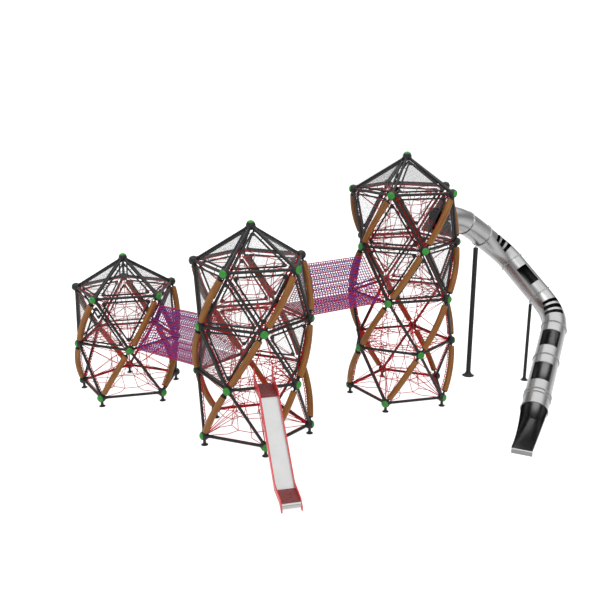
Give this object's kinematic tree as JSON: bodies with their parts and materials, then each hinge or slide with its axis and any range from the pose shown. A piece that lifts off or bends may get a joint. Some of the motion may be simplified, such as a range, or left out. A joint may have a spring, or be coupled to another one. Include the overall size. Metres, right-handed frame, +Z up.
{
  "type": "dome climber",
  "caption": "Play structure of icosahedral climbing towers with inner rope nets, net tunnels between them, a straight slide and a stainless tube slide.",
  "frame": {"origin": "middle of the whole footprint, on the ground under the feet", "axes": "+Z up, +X from the lowest tower towards the tallest one and its tube slide, -Y towards the ends of both slides"},
  "size_m": [16.5104, 11.312, 8.2745],
  "materials": {
    "dark_steel": "satin powder coat",
    "timber_look": "oiled, fine grain",
    "panel_mesh": "fine woven mesh in dark tube frames",
    "net_rope": "braided rope",
    "tunnel_rope": "braided rope, red and blue",
    "tube_steel": "brushed",
    "chute_steel": "smooth brushed",
    "red_panel": "gloss",
    "mouth_plate": "satin",
    "green_cap": "gloss",
    "blue_rope": "braided rope"
  },
  "bodies": {
    "root": {"centre_curved_run_1": "timber_look", "centre_curved_run_2": "timber_look", "centre_curved_run_3": "timber_look", "centre_curved_run_4": "timber_look", "centre_curved_run_5": "timber_look", "centre_inner_net": "net_rope", "centre_ring_0_frame": "dark_steel", "centre_ring_1_frame": "dark_steel", "centre_ring_2_frame": "dark_steel", "centre_ring_3_frame": "dark_steel", "centre_roof_frame": "dark_steel", "centre_roof_panels": "panel_mesh", "centre_tier_2_panels_1": "panel_mesh", "centre_tier_2_panels_2": "panel_mesh", "centre_tier_3_panels": "panel_mesh", "left_curved_run_1": "timber_look", "left_curved_run_2": "timber_look", "left_curved_run_3": "timber_look", "left_curved_run_4": "timber_look", "left_curved_run_5": "timber_look", "left_inner_net": "net_rope", "left_net_tunnel": "tunnel_rope", "left_ring_0_frame": "dark_steel", "left_ring_1_frame": "dark_steel", "left_ring_2_frame": "dark_steel", "left_roof_frame": "dark_steel", "left_roof_panels": "panel_mesh", "left_tier_2_panels": "panel_mesh", "right_curved_run_1": "timber_look", "right_curved_run_2": "timber_look", "right_curved_run_3": "timber_look", "right_curved_run_4": "timber_look", "right_curved_run_5": "timber_look", "right_inner_net": "net_rope", "right_net_tunnel": "tunnel_rope", "right_ring_0_frame": "dark_steel", "right_ring_1_frame": "dark_steel", "right_ring_2_frame": "dark_steel", "right_ring_3_frame": "dark_steel", "right_ring_4_frame": "dark_steel", "right_roof_frame": "dark_steel", "right_roof_panels": "panel_mesh", "right_tier_3_panels": "panel_mesh", "right_tier_4_panels": "panel_mesh", "short_slide_post": "dark_steel", "straight_slide_chute": "chute_steel", "straight_slide_left_cheek": "red_panel", "straight_slide_right_cheek": "red_panel", "tall_slide_post": "dark_steel", "tube_slide_collar": "tube_steel", "tube_slide_exit": "tube_steel", "tube_slide_first_bend": "tube_steel", "tube_slide_lower": "tube_steel", "tube_slide_middle": "tube_steel", "tube_slide_mouth": "tube_steel", "tube_slide_mouth_plate": "mouth_plate", "tube_slide_second_bend": "tube_steel", "tube_slide_upper": "tube_steel", "tube_slide_window_length": "tube_steel"}
  },
  "joints": []
}
